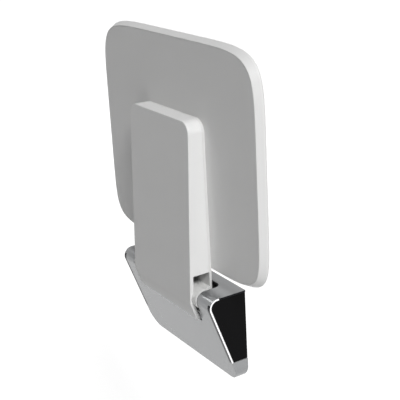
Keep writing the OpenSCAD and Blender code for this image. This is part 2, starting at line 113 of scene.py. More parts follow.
class Sketch:
    """Lays out the nodes of one tree and joins them."""

    # The Mix node's sockets for colours
    MIX_SHARE, MIX_FIRST, MIX_SECOND, MIX_RESULT = 0, 6, 7, 2

    def __init__(self, tree: bpy.types.NodeTree) -> None:
        """Keeps the tree that the nodes go into."""
        self.tree = tree

    def supply(self, socket: Socket, value: Any) -> None:
        """Feeds a socket from another socket or with a plain value."""
        if isinstance(value, Socket):
            self.tree.links.new(value, socket)
        else:
            socket.default_value = value

    def add(
        self, kind: str, feeds: dict[str | int, Any] | None = None, **settings: Any
    ) -> bpy.types.Node:
        """Adds a node, sets it up and feeds its inputs.

        Args:
            kind: The node's type name.
            feeds: Input name or number, and the value or the socket that feeds it.
            settings: Properties of the node.

        Returns:
            The new node.
        """
        node = self.tree.nodes.new(kind)
        for key, value in settings.items():
            setattr(node, key, value)
        for key, value in (feeds or {}).items():
            self.supply(node.inputs[key], value)
        return node

    def dress(self, shader: bpy.types.Node, **feeds: Any) -> None:
        """Feeds a shader, whose sockets' names are written with underscores.

        Args:
            shader: The shader.
            feeds: Socket names, with values or sockets.
        """
        for key, value in feeds.items():
            self.supply(shader.inputs[key.replace("_", " ")], value)

    def math(self, step: str, *terms: Any) -> Socket:
        """Adds a math node.

        Args:
            step: The operation, such as MULTIPLY.
            terms: Its inputs, numbers or sockets.

        Returns:
            The node's result.
        """
        return self.add("ShaderNodeMath", dict(enumerate(terms)), operation=step).outputs[0]

    def noise(self, place: Socket, scale: float, detail: float) -> Socket:
        """Adds a noise pattern.

        Args:
            place: The coordinates that it is drawn on.
            scale: Its fineness, in patches per metre.
            detail: Its octaves.

        Returns:
            The pattern's value.
        """
        feeds = {"Vector": place, "Scale": scale, "Detail": detail}
        return self.add("ShaderNodeTexNoise", feeds).outputs["Fac"]

    def stretched(self, place: Socket, scale: Sequence[float]) -> Socket:
        """Returns the coordinates stretched by a scale for each axis."""
        feeds = {"Vector": place, "Scale": tuple(scale)}
        return self.add("ShaderNodeMapping", feeds).outputs["Vector"]

    def layered(self, first: Socket, second: Socket, share: float) -> Socket:
        """Returns two patterns added up, the first by its share and the second by the rest."""
        return self.math(
            "ADD", self.math("MULTIPLY", first, share), self.math("MULTIPLY", second, 1 - share)
        )

    def span(
        self, value: Socket, low: float | Socket, high: float, start: float = 0.3, end: float = 0.7
    ) -> Socket:
        """Maps the middle of a pattern to a range.

        Args:
            value: The pattern.
            low: The result at start.
            high: The result at end.
            start: The pattern's value where the range begins.
            end: The pattern's value where the range ends.

        Returns:
            The mapped value.
        """
        feeds = {
            "Value": value, "From Min": start, "From Max": end, "To Min": low, "To Max": high,
        }
        return self.add("ShaderNodeMapRange", feeds).outputs["Result"]

    def blend(self, share: Socket, first: Colour, second: Colour) -> Socket:
        """Returns the colour between two, by a share."""
        feeds = {
            self.MIX_SHARE: share, self.MIX_FIRST: (*first, 1.0), self.MIX_SECOND: (*second, 1.0),
        }
        return self.add("ShaderNodeMix", feeds, data_type="RGBA").outputs[self.MIX_RESULT]

    def bump(self, height: Socket, depth: float, under: Socket | None = None) -> Socket:
        """Adds a bump.

        Args:
            height: The pattern that it follows.
            depth: Its depth, in metres.
            under: The bump that it lies on.

        Returns:
            The bumped normal.
        """
        feeds: dict[str | int, Any] = {"Height": height, "Distance": depth, "Strength": 1.0}
        if under is not None:
            feeds["Normal"] = under
        return self.add("ShaderNodeBump", feeds).outputs["Normal"]

    def close(self, form: Socket, finish: "Finish") -> None:
        """Ends a Geometry Nodes tree.

        Args:
            form: The tree's form, whose instances are made real.
            finish: The finish that the form gets.
        """
        real = self.add("GeometryNodeRealizeInstances", {"Geometry": form})
        coat = self.add(
            "GeometryNodeSetMaterial",
            {"Geometry": real.outputs[0], "Material": finish.material()},
        )
        self.add("NodeGroupOutput", {0: coat.outputs[0]})


def tint(colour: Colour, share: float) -> Colour:
    """Returns a colour made darker or lighter by a share."""
    return tuple(min(1.0, c * share) for c in colour)


@dataclass(frozen=True)
class Finish:
    """What every finish has: a name, a colour and a roughness."""

    name: str
    colour: Colour
    roughness: float

    def material(self) -> bpy.types.Material:
        """Returns the finish's material, made on its first use."""
        made = bpy.data.materials.get(self.name)
        if made is None:
            made = bpy.data.materials.new(self.name)
            made.use_nodes = True
            made.diffuse_color = (*self.colour, 1.0)
            sketch = Sketch(made.node_tree)
            place = sketch.add("ShaderNodeTexCoord").outputs["Object"]
            self.draw(sketch, made.node_tree.nodes["Principled BSDF"], place)
        return made

    def toned(self, sketch: Sketch, pattern: Socket, low: float, high: float) -> Socket:
        """Varies the finish's colour by a pattern.

        Args:
            sketch: The material's nodes.
            pattern: The pattern.
            low: The colour's share where the pattern is 0.
            high: The colour's share where the pattern is 1.

        Returns:
            The varied colour.
        """
        return sketch.blend(pattern, tint(self.colour, low), tint(self.colour, high))

    def worn(self, sketch: Sketch, pattern: Socket, less: float, more: float) -> Socket:
        """Varies the finish's roughness by the middle of a pattern.

        Args:
            sketch: The material's nodes.
            pattern: The pattern.
            less: How far the roughness falls below the finish's own.
            more: How far it rises above it.

        Returns:
            The varied roughness.
        """
        return sketch.span(pattern, self.roughness - less, self.roughness + more)

    def draw(self, sketch: Sketch, shader: bpy.types.Node, place: Socket) -> None:
        """Draws the finish's own pattern.

        Args:
            sketch: The material's nodes.
            shader: The Principled shader.
            place: Object coordinates, in metres.
        """
        raise NotImplementedError


@dataclass(frozen=True)
class Moulded(Finish):
    """Moulded plastic: a fine spark-eroded grain, a soft cloudiness and rubbed patches."""

    grain: float = 1500.0
    grain_depth: float = 0.000012
    flow_depth: float = 0.00006
    gloss: float = 0.5

    def draw(self, sketch: Sketch, shader: bpy.types.Node, place: Socket) -> None:
        """Draws grain, cloudiness and rubbed patches."""
        cloud = sketch.noise(place, scale=7.0, detail=4.0)
        rubbed = sketch.noise(place, scale=38.0, detail=5.0)
        grain = sketch.noise(place, scale=self.grain, detail=3.0)
        flow = sketch.noise(sketch.stretched(place, (30.0, 30.0, 5.0)), scale=1.0, detail=2.0)
        normal = sketch.bump(flow, self.flow_depth)
        sketch.dress(
            shader,
            Base_Color=self.toned(sketch, cloud, low=0.975, high=1.01),
            Roughness=self.worn(sketch, rubbed, less=0.05, more=0.06),
            Normal=sketch.bump(grain, self.grain_depth, normal),
            Specular_IOR_Level=self.gloss,
        )


@dataclass(frozen=True)
class SatinMetal(Finish):
    """Satin metal, rubbed along its length, with soft smudges."""

    line_depth: float = 0.000006
    smudge: float = 0.06
    body: float = 1.0

    def draw(self, sketch: Sketch, shader: bpy.types.Node, place: Socket) -> None:
        """Draws the rubbing lines and the smudges."""
        along = sketch.stretched(place, (18.0, 2200.0, 2200.0))
        lines = sketch.noise(along, scale=1.0, detail=3.0)
        smudge = sketch.noise(place, scale=21.0, detail=5.0)
        tone = sketch.layered(lines, smudge, share=0.35)
        sketch.dress(
            shader,
            Base_Color=self.toned(sketch, tone, low=0.96, high=1.04),
            Metallic=self.body,
            Roughness=self.worn(sketch, tone, less=self.smudge, more=self.smudge),
            Normal=sketch.bump(lines, self.line_depth),
        )


@dataclass(frozen=True)
class PlatedSteel(Finish):
    """Zinc plated steel sheet, with its spangle and rolling lines."""

    spangle: float = 160.0
    line_depth: float = 0.00001

    def draw(self, sketch: Sketch, shader: bpy.types.Node, place: Socket) -> None:
        """Draws the spangle, the rolling lines and the dull patches."""
        crystals = sketch.add("ShaderNodeTexVoronoi", {"Vector": place, "Scale": self.spangle})
        shade = sketch.add("ShaderNodeSeparateColor", {0: crystals.outputs["Color"]}).outputs[0]
        along = sketch.stretched(place, (25.0, 1400.0, 1400.0))
        rolled = sketch.noise(along, scale=1.0, detail=2.0)
        dull = sketch.noise(place, scale=26.0, detail=6.0)
        tone = sketch.layered(shade, dull, share=0.3)
        sketch.dress(
            shader,
            Base_Color=self.toned(sketch, tone, low=0.82, high=1.16),
            Metallic=1.0,
            Roughness=self.worn(sketch, tone, less=0.09, more=0.12),
            Normal=sketch.bump(rolled, self.line_depth),
        )


@dataclass(frozen=True)
class CastMetal(Finish):
    """Die casting as it leaves the mould: flow marks and a fine sandy skin."""

    skin: float = 900.0
    skin_depth: float = 0.00003

    def draw(self, sketch: Sketch, shader: bpy.types.Node, place: Socket) -> None:
        """Draws the sandy skin and the flow marks."""
        skin = sketch.noise(place, scale=self.skin, detail=4.0)
        flow = sketch.noise(sketch.stretched(place, (60.0, 20.0, 20.0)), scale=1.5, detail=5.0)
        sketch.dress(
            shader,
            Base_Color=self.toned(sketch, flow, low=0.78, high=1.15),
            Metallic=1.0,
            Roughness=self.worn(sketch, flow, less=0.08, more=0.1),
            Normal=sketch.bump(skin, self.skin_depth),
        )


@dataclass(frozen=True)
class TurnedSteel(Finish):
    """Turned or rolled steel, with fine rings across its axis."""

    rings: float = 260.0
    ring_depth: float = 0.000004

    def draw(self, sketch: Sketch, shader: bpy.types.Node, place: Socket) -> None:
        """Draws the tool's rings and the handling marks."""
        rings = sketch.add(
            "ShaderNodeTexWave",
            {"Vector": place, "Scale": self.rings, "Distortion": 1.2, "Detail": 2.0},
            bands_direction="X",
        ).outputs["Fac"]
        marks = sketch.noise(place, scale=120.0, detail=5.0)
        sketch.dress(
            shader,
            Base_Color=self.toned(sketch, marks, low=0.85, high=1.1),
            Metallic=1.0,
            Roughness=self.worn(sketch, marks, less=0.07, more=0.1),
            Normal=sketch.bump(rings, self.ring_depth),
        )


@dataclass(frozen=True)
class Rubber(Finish):
    """Matt rubber with a dusty bloom and pores."""

    pores: float = 700.0
    pore_depth: float = 0.00004

    def draw(self, sketch: Sketch, shader: bpy.types.Node, place: Socket) -> None:
        """Draws the bloom and the pores."""
        bloom = sketch.noise(place, scale=90.0, detail=6.0)
        pores = sketch.add("ShaderNodeTexVoronoi", {"Vector": place, "Scale": self.pores})
        sketch.dress(
            shader,
            Base_Color=self.toned(sketch, bloom, low=1.0, high=2.1),
            Roughness=self.worn(sketch, bloom, less=0.08, more=0.08),
            Normal=sketch.bump(pores.outputs["Distance"], self.pore_depth),
            Specular_IOR_Level=0.35,
        )


@dataclass(frozen=True)
class Powder(Finish):
    """Powder coat: a baked orange-peel skin with a few darker specks."""

    peel: float = 620.0
    peel_depth: float = 0.00002

    def draw(self, sketch: Sketch, shader: bpy.types.Node, place: Socket) -> None:
        """Draws the orange peel and the specks."""
        peel = sketch.noise(place, scale=self.peel, detail=1.0)
        specks = sketch.noise(place, scale=1700.0, detail=1.0)
        cloud = sketch.noise(place, scale=12.0, detail=3.0)
        speck = sketch.span(specks, 0.0, 0.5, start=0.7, end=0.82)
        tone = sketch.math("ADD", speck, sketch.math("MULTIPLY", cloud, 0.25))
        sketch.dress(
            shader,
            Base_Color=self.toned(sketch, tone, low=1.0, high=0.86),
            Roughness=self.worn(sketch, cloud, less=0.04, more=0.05),
            Normal=sketch.bump(peel, self.peel_depth),
        )


SEAT_WHITE = Moulded("seat_white", (0.84, 0.84, 0.835), 0.42, gloss=0.3)
CAP_BLACK = Moulded(
    "cap_black", (0.003, 0.003, 0.0035), 0.16, grain=260.0, grain_depth=0.000004, gloss=0.05
)
SHELL_SATIN = SatinMetal("shell_satin", (0.306, 0.312, 0.318), 0.22, smudge=0.04, body=0.5)
# Lighter and darker copies of the satin metal: a painted highlight on the shell's end rims and a
# painted shade line round them
SHELL_PAINTED_HIGHLIGHT = SatinMetal("shell_rim", (0.88, 0.88, 0.89), 0.2, smudge=0.03)
SHELL_PAINTED_SHADE = SatinMetal("shell_line", (0.012, 0.012, 0.014), 0.35, smudge=0.03)
PLATE_ZINC = PlatedSteel("plate_zinc", (0.45, 0.46, 0.48), 0.38)
BLOCK_CAST = CastMetal("block_cast", (0.42, 0.43, 0.44), 0.5)
BRIGHT_STEEL = TurnedSteel("bright_steel", (0.60, 0.60, 0.61), 0.28)
STOP_BLACK = Rubber("stop_black", (0.02, 0.02, 0.02), 0.82)
LEAF_WHITE = Powder("leaf_white", (0.82, 0.82, 0.81), 0.4)
BUSH_ACETAL = Moulded("bush_acetal", (0.78, 0.76, 0.70), 0.5, grain=900.0)


@dataclass(frozen=True)
class Rounding:
    """One softened set of edges: its radius in mm, its steps and which edges it takes."""

    radius: float
    steps: int
    takes: Callable[[Vector, Vector, Vector], bool]


def everywhere(middle: Vector, first: Vector, second: Vector) -> bool:
    """Takes every sharp edge."""
    return True


def flatten(piece: bpy.types.Object) -> bpy.types.Object:
    """Turns a piece with modifiers into its plain evaluated mesh.

    Args:
        piece: The object, which keeps its name.

    Returns:
        The same object, without modifiers.
    """
    graph = bpy.context.evaluated_depsgraph_get()
    graph.update()
    mesh = bpy.data.meshes.new_from_object(
        piece.evaluated_get(graph), preserve_all_data_layers=True, depsgraph=graph
    )
    old = piece.data
    piece.modifiers.clear()
    piece.data = mesh
    mesh.name = piece.name
    bpy.data.meshes.remove(old)
    return piece


def shade(piece: bpy.types.Object, sharp: float = 33.0) -> bpy.types.Object:
    """Shades a piece smoothly, with even normals on its flats.

    Args:
        piece: The object.
        sharp: The angle in degrees past which an edge stays sharp.

    Returns:
        The same object.
    """
    piece.data.shade_smooth()
    piece.data.set_sharp_from_angle(angle=math.radians(sharp))
    even = piece.modifiers.new("even", "WEIGHTED_NORMAL")
    even.keep_sharp = True
    return flatten(piece)


def new_piece(name: str, mesh: bpy.types.Mesh) -> bpy.types.Object:
    """Links a new object at the origin and returns it."""
    piece = bpy.data.objects.new(name, mesh)
    bpy.context.scene.collection.objects.link(piece)
    return piece


def new_tree(name: str, inputs: dict[str, str]) -> bpy.types.NodeTree:
    """Makes a Geometry Nodes group that takes a geometry and named inputs.

    Args:
        name: The group's name.
        inputs: Each further input's name and socket type.

    Returns:
        The group, still without nodes.
    """
    tree = bpy.data.node_groups.new(name, "GeometryNodeTree")
    face = tree.interface
    face.new_socket("Geometry", in_out="INPUT", socket_type="NodeSocketGeometry")
    for label, kind in inputs.items():
        face.new_socket(label, in_out="INPUT", socket_type=kind)
    face.new_socket("Geometry", in_out="OUTPUT", socket_type="NodeSocketGeometry")
    return tree


def grow(
    piece: bpy.types.Object, tree: bpy.types.NodeTree, values: dict[str, Any]
) -> bpy.types.Object:
    """Runs a Geometry Nodes group on a piece and keeps the result as its plain mesh.

    Args:
        piece: The object.
        tree: The group.
        values: The group's inputs by name.

    Returns:
        The same object.
    """
    modifier = piece.modifiers.new(tree.name, "NODES")
    modifier.node_group = tree
    for socket in tree.interface.items_tree:
        if socket.in_out == "INPUT" and socket.name in values:
            modifier[socket.identifier] = values[socket.name]
    return flatten(piece)


def turn_outwards(mesh: bpy.types.Mesh) -> None:
    """Turns the faces of closed forms outwards."""
    work = bmesh.new()
    work.from_mesh(mesh)
    bmesh.ops.recalc_face_normals(work, faces=work.faces)
    work.to_mesh(mesh)
    work.free()


def split_at(mesh: bpy.types.Mesh, spot: Sequence[float], facing: Sequence[float]) -> None:
    """Splits the faces of a mesh along a plane.

    Args:
        mesh: The mesh.
        spot: A point on the plane in mm.
        facing: The plane's normal.
    """
    work = bmesh.new()
    work.from_mesh(mesh)
    bmesh.ops.bisect_plane(
        work, geom=[*work.verts, *work.edges, *work.faces],
        plane_co=[v * MM for v in spot], plane_no=facing, dist=PLANE_REACH,
    )
    work.to_mesh(mesh)
    work.free()


def softened(
    node: str, name: str, finish: Finish, roundings: Sequence[Rounding]
) -> bpy.types.Object:
    """Copies a CAD node, joins its loose triangles and softens its edges.

    Args:
        node: The CAD node.
        name: The new piece's name.
        finish: Its finish.
        roundings: The sets of edges, largest radius first.

    Returns:
        The new object, not yet shaded.
    """
    work = bmesh.new()
    work.from_mesh(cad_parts[node].data)
    bmesh.ops.remove_doubles(work, verts=work.verts, dist=WELD)
    bmesh.ops.recalc_face_normals(work, faces=work.faces)
    bmesh.ops.dissolve_limit(
        work, angle_limit=math.radians(FLAT_ANGLE), verts=work.verts, edges=work.edges,
        use_dissolve_boundaries=False,
    )
    for rounding in roundings:
        picked = [
            edge for edge in work.edges
            if len(edge.link_faces) == 2
            and edge.is_convex
            and edge.calc_face_angle(0.0) > math.radians(SHARP_ANGLE)
            and rounding.takes(
                (edge.verts[0].co + edge.verts[1].co) / 2,
                edge.link_faces[0].normal, edge.link_faces[1].normal,
            )
        ]
        bmesh.ops.bevel(
            work, geom=picked, offset=rounding.radius * MM, offset_type="OFFSET",
            segments=rounding.steps, profile=0.5, affect="EDGES", clamp_overlap=False,
            miter_outer="SHARP",
        )
    low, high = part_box(node)
    for vertex in work.verts:
        vertex.co = [min(max(v, a), b) for v, a, b in zip(vertex.co, low, high)]
    mesh = bpy.data.meshes.new(name)
    work.to_mesh(mesh)
    work.free()
    mesh.materials.append(finish.material())
    return new_piece(name, mesh)


def hand_over(piece: bpy.types.Object, body: Body, node: str) -> None:
    """Gives a finished piece its body and hides the CAD node that it stands for.

    Args:
        piece: The finished object.
        body: The body that it moves with.
        node: The CAD node that it replaces.
    """
    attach(piece, body.value)
    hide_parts(node)
    low, high = Vector(piece.bound_box[0]), Vector(piece.bound_box[6])
    LOG.info(
        "%s on %s: %d faces, %s mm", piece.name, body.value, len(piece.data.polygons),
        [round(v / MM, 1) for v in (high - low)],
    )


def paint_node(node: str, finish: Finish) -> None:
    """Gives a kept CAD node its finish.

    Args:
        node: The CAD node.
        finish: Its finish.
    """
    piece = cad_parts[node]
    piece.data.materials.clear()
    piece.data.materials.append(finish.material())
    LOG.info("%s keeps its mesh, finish %s", node, finish.name)


@dataclass(frozen=True)
class Softbox:
    """One square lamp: where it hangs, what it faces and its side, in metres, and its watts."""

    name: str
    place: Spot
    aim: Spot
    side: float
    watts: float
    gloss_only: bool = False

    def hang(self) -> None:
        """Hangs the lamp out of the camera's sight. One for gloss only lights nothing."""
        data = bpy.data.lights.new(self.name, "AREA")
        data.shape = "SQUARE"
        data.size = self.side
        data.energy = self.watts
        box = bpy.data.objects.new(self.name, data)
        box.location = self.place
        way = Vector(self.aim) - Vector(self.place)
        box.rotation_euler = way.to_track_quat("-Z", "Y").to_euler()
        box.visible_camera = False
        box.visible_diffuse = not self.gloss_only
        bpy.context.scene.collection.objects.link(box)


@dataclass
class Studio:
    """Floor, light and the photograph's camera.

    Sizes are in mm and degrees, and the focal length and the frame's width in pixels. The
    floor's glow rises between its two reaches, in metres from the origin.
    """

    azimuth: float = 58.58
    elevation: float = 19.58
    roll: float = -3.08
    distance: float = 1474.7
    focal: float = 971.15
    offset_right: float = 2.62
    offset_up: float = 95.06
    frame_rise: float = 67.5
    frame_width: float = 400.0
    sensor: float = 36.0
    clip: tuple[float, float] = (0.01, 60.0)
    floor_drop: float = 450.0
    floor_span: float = 40000.0
    floor_paper: tuple[float, float] = (0.83, 0.85)
    floor_glow: tuple[float, float] = (0.68, 0.92)
    glow_near: float = 0.9
    glow_far: float = 2.4
    ambient: tuple[float, float] = (0.04, 0.21)
    lamps: tuple[Softbox, ...] = (
        Softbox("key_softbox", (4.6, -0.75, 4.7), (0.0, 0.0, 0.15), 2.0, 320.0),
        Softbox(
            "bend_glint", (-0.81, -0.4, 0.745), (0.11, -0.057, 0.063), 0.22, 0.5, gloss_only=True
        ),
    )

    def camera(self) -> None:
        """Places the camera where the photograph was taken from."""
        turn, tilt, roll = (math.radians(v) for v in (self.azimuth, self.elevation, self.roll))
        level = math.cos(tilt)
        back = Vector((math.sin(turn) * level, -math.cos(turn) * level, math.sin(tilt)))
        right = Vector((math.cos(turn), math.sin(turn), 0.0))
        up = back.cross(right)
        right, up = (
            math.cos(roll) * right + math.sin(roll) * up,
            math.cos(roll) * up - math.sin(roll) * right,
        )
        data = bpy.data.cameras.new("photo_camera")
        data.sensor_width = self.sensor
        data.lens = self.focal * self.sensor / self.frame_width
        data.clip_start, data.clip_end = self.clip
        eye = bpy.data.objects.new("photo_camera", data)
        place = self.offset_right * right + self.offset_up * up + self.distance * back
        place.z += self.frame_rise
        turned = Matrix((right, up, back)).transposed().to_4x4()
        eye.matrix_world = Matrix.Translation(place * MM) @ turned
        bpy.context.scene.collection.objects.link(eye)
        bpy.context.scene.camera = eye

    def seen_white(self, sketch: Sketch) -> Socket:
        """Returns 1 for rays of the camera, of gloss and through glass, and 0 for others."""
        path = sketch.add("ShaderNodeLightPath").outputs
        seen = sketch.math("MAXIMUM", path["Is Camera Ray"], path["Is Glossy Ray"])
        return sketch.math("MAXIMUM", seen, path["Is Transmission Ray"])

    def world(self) -> None:
        """Lights the room softly, more from the wall's side, before a white backdrop."""
        world = bpy.data.worlds.new("studio")
        world.use_nodes = True
        bpy.context.scene.world = world
        sketch = Sketch(world.node_tree)
        way = sketch.add("ShaderNodeTexCoord").outputs["Generated"]
        rear = sketch.add("ShaderNodeSeparateXYZ", {0: way}).outputs["Y"]
        room = sketch.span(rear, *self.ambient, start=-1.0, end=1.0)
        level = sketch.span(self.seen_white(sketch), room, 1.0, start=0.0, end=1.0)
        sky = world.node_tree.nodes["Background"]
        sketch.dress(sky, Color=(1.0, 1.0, 1.0, 1.0), Strength=level)

    def floor(self) -> None:
        """Lays the pale floor, which keeps the object's shadow."""
        half = self.floor_span / 2 * MM
        drop = -self.floor_drop * MM
        mesh = bpy.data.meshes.new("studio_floor")
        mesh.from_pydata(
            [(-half, -half, drop), (half, -half, drop), (half, half, drop), (-half, half, drop)],
            [], [(0, 1, 2, 3)],
        )
        made = bpy.data.materials.new("floor_paper")
        made.use_nodes = True
        sketch = Sketch(made.node_tree)
        place = sketch.add("ShaderNodeTexCoord").outputs["Object"]
        fibres = sketch.noise(place, scale=240.0, detail=3.0)
        away = sketch.add("ShaderNodeVectorMath", {0: place}, operation="LENGTH").outputs["Value"]
        level = sketch.span(away, *self.floor_glow, start=self.glow_near, end=self.glow_far)
        sketch.dress(
            made.node_tree.nodes["Principled BSDF"],
            Base_Color=sketch.blend(fibres, *((tone,) * 3 for tone in self.floor_paper)),
            Roughness=0.9,
            Specular_IOR_Level=0.0,
            Emission_Color=(1.0, 1.0, 1.0, 1.0),
            Emission_Strength=sketch.math("MULTIPLY", self.seen_white(sketch), level),
        )
        mesh.materials.append(made)
        new_piece("studio_floor", mesh)

    def build(self) -> None:
        """Builds camera, floor and light."""
        self.camera()
        self.world()
        self.floor()
        for lamp in self.lamps:
            lamp.hang()
        bpy.context.scene.view_settings.view_transform = "Standard"


@dataclass(frozen=True)
class Ring:
    """One line round a form: its growth, its depth, its share of the way out and its shape."""

    grow: float
    depth: float
    fill: float = 1.0
    shape: Recess | None = None

    def share(self, turn: float) -> float:
        """Returns how far out the ring lies at a turn."""
        return self.fill * (self.shape.share(turn) if self.shape else 1.0)


@dataclass(frozen=True)
class Outline:
    """A rounded outline, which the loft tree wraps a sheet round. Its sizes are the seat's."""

    half_width: float = 200.3
    half_height: float = 160.2
    middle: float = 255.7
    front_power: float = 7.0
    rear_power: float = 8.5
    steps: int = 512
    sharp: float = 50.0

    def inputs(self) -> dict[str, float]:
        """Returns the loft tree's inputs, with lengths in metres."""
        return {
            "Half Width": self.half_width * MM, "Half Height": self.half_height * MM,
            "Middle": self.middle * MM, "Front Power": self.front_power,
            "Rear Power": self.rear_power,
        }

    def tree(self, finish: Finish) -> bpy.types.NodeTree:
        """Draws the tree that bends an unrolled sheet round the outline.

        The sheet's X is the turn, its Y the growth and its Z the depth from the wall.

        Args:
            finish: The finish that the tree gives its result.

        Returns:
            The node group.
        """
        tree = new_tree(
            "outline_loft_" + finish.name, dict.fromkeys(self.inputs(), "NodeSocketFloat")
        )
        sketch = Sketch(tree)
        given = sketch.add("NodeGroupInput").outputs
        place = sketch.add("GeometryNodeInputPosition").outputs[0]
        turn, grown, depth = sketch.add("ShaderNodeSeparateXYZ", {0: place}).outputs[:3]
        fill = sketch.add("GeometryNodeInputNamedAttribute", {"Name": "fill"}, data_type="FLOAT")
        across, along = sketch.math("COSINE", turn), sketch.math("SINE", turn)
        rear = sketch.math("LESS_THAN", along, 0.0)
        extra = sketch.math("SUBTRACT", given["Rear Power"], given["Front Power"])
        power = sketch.math("ADD", given["Front Power"], sketch.math("MULTIPLY", rear, extra))
        parts = [
            sketch.math("POWER", sketch.math("ABSOLUTE", way), power) for way in (across, along)
        ]
        spread = sketch.math("ADD", *parts)
        reach = sketch.math("POWER", spread, sketch.math("DIVIDE", -1.0, power))
        out = sketch.math("MULTIPLY", reach, fill.outputs["Attribute"])

        def place_on(way: Socket, half: str) -> Socket:
            """Returns how far a point lies from the middle along one axis."""
            return sketch.math(
                "MULTIPLY", sketch.math("MULTIPLY", way, out),
                sketch.math("ADD", given[half], grown),
            )

        x = place_on(across, "Half Width")
        z = sketch.math("ADD", place_on(along, "Half Height"), given["Middle"])
        spot = sketch.add("ShaderNodeCombineXYZ", {0: x, 1: depth, 2: z}).outputs[0]
        bent = sketch.add(
            "GeometryNodeSetPosition", {"Geometry": given["Geometry"], "Position": spot}
        )
        closed = sketch.add(
            "GeometryNodeMergeByDistance", {"Geometry": bent.outputs[0], "Distance": SEAM_WELD}
        )
        sketch.close(closed.outputs[0], finish)
        return tree

    def loft(self, name: str, rings: Sequence[Ring], finish: Finish) -> bpy.types.Object:
        """Lofts a closed form through rings round the outline.

        Args:
            name: The piece's name.
            rings: The rings in mm, from the middle of one side round to that of the other.
            finish: The form's finish.

        Returns:
            The plain, shaded object.
        """
        count = self.steps
        turns = [2 * math.pi * (i + 0.5) / count for i in range(count)]
        points = [(t, r.grow * MM, r.depth * MM) for r in rings for t in turns]
        faces = [
            (k * count + i, k * count + (i + 1) % count,
             (k + 1) * count + (i + 1) % count, (k + 1) * count + i)
            for k in range(len(rings) - 1) for i in range(count)
        ]
        mesh = bpy.data.meshes.new(name)
        mesh.from_pydata(points, [], faces)
        fill = mesh.attributes.new("fill", "FLOAT", "POINT")
        fill.data.foreach_set("value", [r.share(t) for r in rings for t in turns])
        piece = grow(new_piece(name, mesh), self.tree(finish), self.inputs())
        piece.data.attributes.remove(piece.data.attributes["fill"])
        turn_outwards(piece.data)
        return shade(piece, self.sharp)


def arc(
    centre: tuple[float, float], radius: float, start: float, end: float, steps: int
) -> list[Ring]:
    """Returns rings along an arc.

    Args:
        centre: The arc's middle, as growth and depth.
        radius: Its radius.
        start: The angle of its first ring in degrees, from outwards towards the wall.
        end: The angle of its last ring.
        steps: The number of steps between them.

    Returns:
        The rings.
    """
    found = []
    for step in range(steps + 1):
        turn = math.radians(start + (end - start) * step / steps)
        found.append(Ring(centre[0] + radius * math.cos(turn), centre[1] + radius * math.sin(turn)))
    return found


@dataclass
class Seat:
    """The moulded seat: a top with a flared rim, and the panel under it. Sizes are in mm."""

    outline: Outline
    under: float = -28.0
    sitting: float = -13.0
    flare: float = 6.5
    lip: float = 1.4
    edge: float = 4.0
    edge_steps: int = 14
    panel: float = 4.0
    gap: float = 0.1
    dish: float = 1.2
    dish_reach: float = 0.55
    face_steps: int = 24
    flat_share: float = 0.9
    soft: float = 0.5
    soft_steps: int = 4
    well_steps: int = 3

    def rim(self) -> list[Ring]:
        """Returns the rim's leaning facet and round edge, from the lip to the sitting face."""
        low = (self.lip, self.under + self.soft)
        high = (self.flare - self.edge, self.sitting - self.edge)
        out, rise = high[0] - low[0], high[1] - low[1]
        lean = math.asin((self.edge - self.soft) / math.hypot(out, rise)) + math.atan2(out, rise)
        tilt = -math.degrees(lean)
        return (
            arc(low, self.soft, -90, tilt, self.soft_steps)
            + arc(high, self.edge, tilt, 90, self.edge_steps)
        )

    def face(self) -> list[Ring]:
        """Returns the slightly dished sitting face, from the rim to its middle."""
        rings = []
        for step in range(1, self.face_steps + 1):
            fill = 1 - step / self.face_steps
            share = min(1.0, (1 - fill) / self.dish_reach)
            drop = self.dish * (3 * share ** 2 - 2 * share ** 3)
            rings.append(Ring(self.flare - self.edge, self.sitting - drop, fill))
        return rings

    def top(self) -> bpy.types.Object:
        """Builds the seat top, with its well for the panel."""
        well = self.under + self.panel + self.gap
        start = self.under + self.soft
        rings = [Ring(0, well, 0.0), Ring(0, well, self.flat_share), Ring(0, well), Ring(0, start)]
        rings += arc((self.soft, start), self.soft, 180, 270, self.well_steps)[1:]
        rings += self.rim() + self.face()
        return self.outline.loft("seat_top_shell", rings, SEAT_WHITE)

    def base(self) -> bpy.types.Object:
        """Builds the underside panel with its softened edge."""
        out, back = -self.gap, self.under + self.panel
        inner, start = out - self.soft, self.under + self.soft
        rings = [Ring(inner, self.under, fill) for fill in (0.0, 0.5, self.flat_share)]
        rings += arc((inner, start), self.soft, -90, 0, self.soft_steps)
        rings += [Ring(out, back, fill) for fill in (1.0, self.flat_share, 0.0)]
        return self.outline.loft("seat_underside", rings, SEAT_WHITE)

    def build(self) -> None:
        """Builds both pieces of the seat."""
        hand_over(self.top(), Body.SEAT, "seat_top")
        hand_over(self.base(), Body.SEAT, "seat_base")


@dataclass
class Arm:
    """The hooked hollow arm and the hinge leaf behind it. Sizes are in mm."""

    rear: float = -31.7
    edge: float = 1.0
    edge_steps: int = 3
    joint: float = 0.25
    joint_steps: int = 2

    def clear_of_leaf(self, middle: Vector, first: Vector, second: Vector) -> bool:
        """Takes the edges that stand clear of the joint with the leaf."""
        return middle.y / MM < self.rear - self.joint

    def build(self) -> None:
        """Softens the arm's and the leaf's edges and hands both over."""
        fine = Rounding(self.joint, self.joint_steps, everywhere)
        wide = Rounding(self.edge, self.edge_steps, self.clear_of_leaf)
        arm = shade(softened("arm_housing", "arm_shell", SEAT_WHITE, [wide, fine]))
        hand_over(arm, Body.SEAT, "arm_housing")
        leaf = shade(softened("hinge_leaf", "hinge_leaf_coated", LEAF_WHITE, [fine]))
        hand_over(leaf, Body.SEAT, "hinge_leaf")


